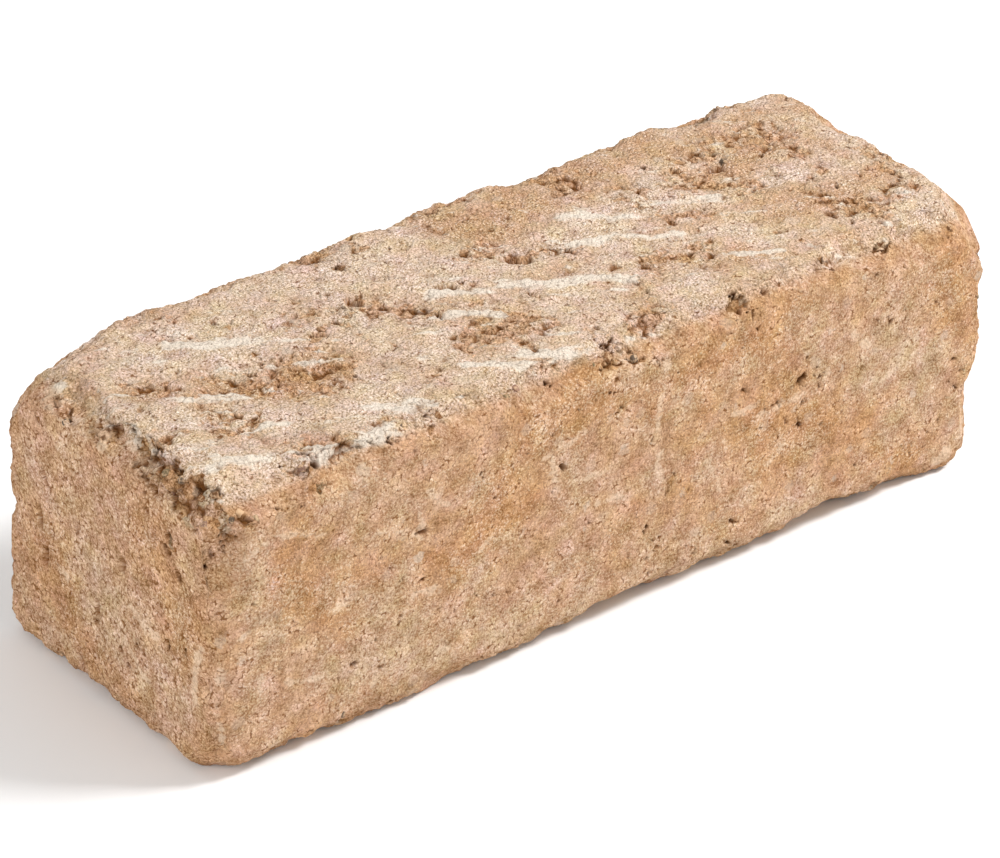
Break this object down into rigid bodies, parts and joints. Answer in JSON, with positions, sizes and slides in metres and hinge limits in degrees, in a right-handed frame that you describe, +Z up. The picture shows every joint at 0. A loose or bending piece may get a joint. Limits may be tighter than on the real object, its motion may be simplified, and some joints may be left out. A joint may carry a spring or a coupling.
{
  "type": "garden wall block",
  "caption": "Solid oblong block of tumbled sand-coloured concrete with worn edges, knocked corners and chips, laid in courses for low garden walls, steps and borders.",
  "frame": {"origin": "middle of the bed face, on the level that the block rests on", "axes": "+X along the block's length, +Y across its width towards the plain long side, +Z up out of its top face"},
  "size_m": [0.38, 0.13, 0.12],
  "materials": {
    "concrete": "rough, matt tumbled concrete with sand grain, small pits, exposed pebbles and pale cement smears on its top"
  },
  "bodies": {
    "root": {"wall_block": "concrete"}
  },
  "joints": []
}
